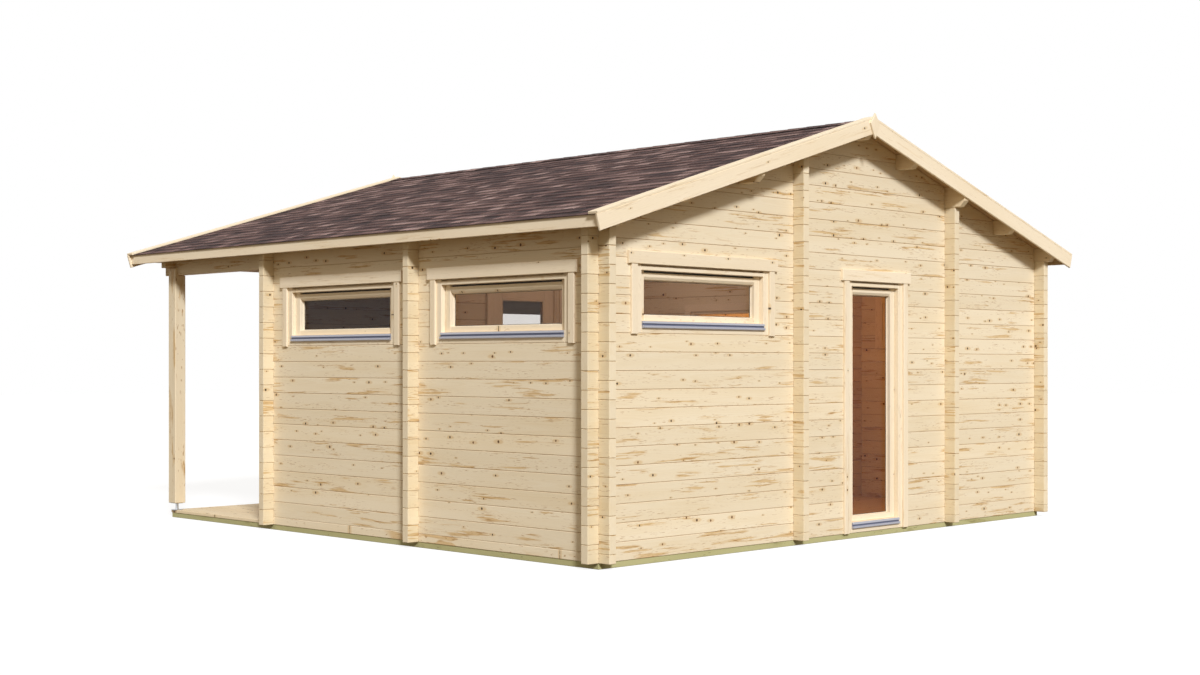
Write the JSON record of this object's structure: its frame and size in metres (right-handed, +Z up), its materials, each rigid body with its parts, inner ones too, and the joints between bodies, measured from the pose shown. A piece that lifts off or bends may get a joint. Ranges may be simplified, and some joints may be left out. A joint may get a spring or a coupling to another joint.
{
  "type": "log sauna cabin",
  "caption": "One-storey log sauna cabin with crossing notched log walls, low gable roof of bitumen shingles, long narrow windows and a covered porch.",
  "frame": {"origin": "middle of the building's overall box, on the ground at the underside of the foundation beams", "axes": "+Z up; +Y towards the closed gable wall, so the porch is at -Y; +X towards the long wall on the right when seen from the porch side looking along +Y"},
  "size_m": [6.38, 6.351, 3.4871],
  "materials": {
    "spruce": "planed, untreated, matt",
    "impregnated_wood": "sawn, pressure impregnated",
    "bitumen_shingle": "mineral granules, rough",
    "window_glass": "bronze tinted",
    "sill_metal": "satin",
    "foot_steel": "zinc plated"
  },
  "bodies": {
    "cabin": {"back_wall": "spruce", "back_window_casings": "spruce", "back_window_frames": "spruce", "back_window_glass": "window_glass", "back_window_sills": "sill_metal", "barge_boards": "spruce", "barge_caps": "spruce", "cross_partition": "spruce", "eave_fascias": "spruce", "eave_purlins": "spruce", "entrance_frame": "spruce", "entrance_glass": "window_glass", "entrance_leaf": "spruce", "finials": "spruce", "floor_joists": "impregnated_wood", "floor_slabs": "spruce", "foundation_cross_beams": "impregnated_wood", "foundation_side_beams": "impregnated_wood", "front_wall": "spruce", "left_wall": "spruce", "left_window_casings": "spruce", "left_window_frames": "spruce", "left_window_glass": "window_glass", "left_window_sills": "sill_metal", "partition_door_frame": "spruce", "porch_gable": "spruce", "porch_posts": "spruce", "post_feet": "foot_steel", "ridge_cap": "bitumen_shingle", "right_wall": "spruce", "right_window_casings": "spruce", "right_window_frames": "spruce", "right_window_glass": "window_glass", "right_window_sills": "sill_metal", "roof_boards_left": "spruce", "roof_boards_right": "spruce", "roof_purlins": "spruce", "shingles_left": "bitumen_shingle", "shingles_right": "bitumen_shingle", "short_crossing": "spruce", "side_doorway_frame": "spruce", "side_partition": "spruce", "terrace_deck": "spruce"},
    "partition_door": {"partition_door_leaf": "spruce", "partition_door_glass": "window_glass"}
  },
  "joints": [
    {"name": "partition_door_hinge", "type": "hinge", "parent": "cabin", "child": "partition_door", "pos_m": [2.161, 0.8542, 0], "axis": [0, 0, 1], "range_deg": [0, 95]}
  ]
}
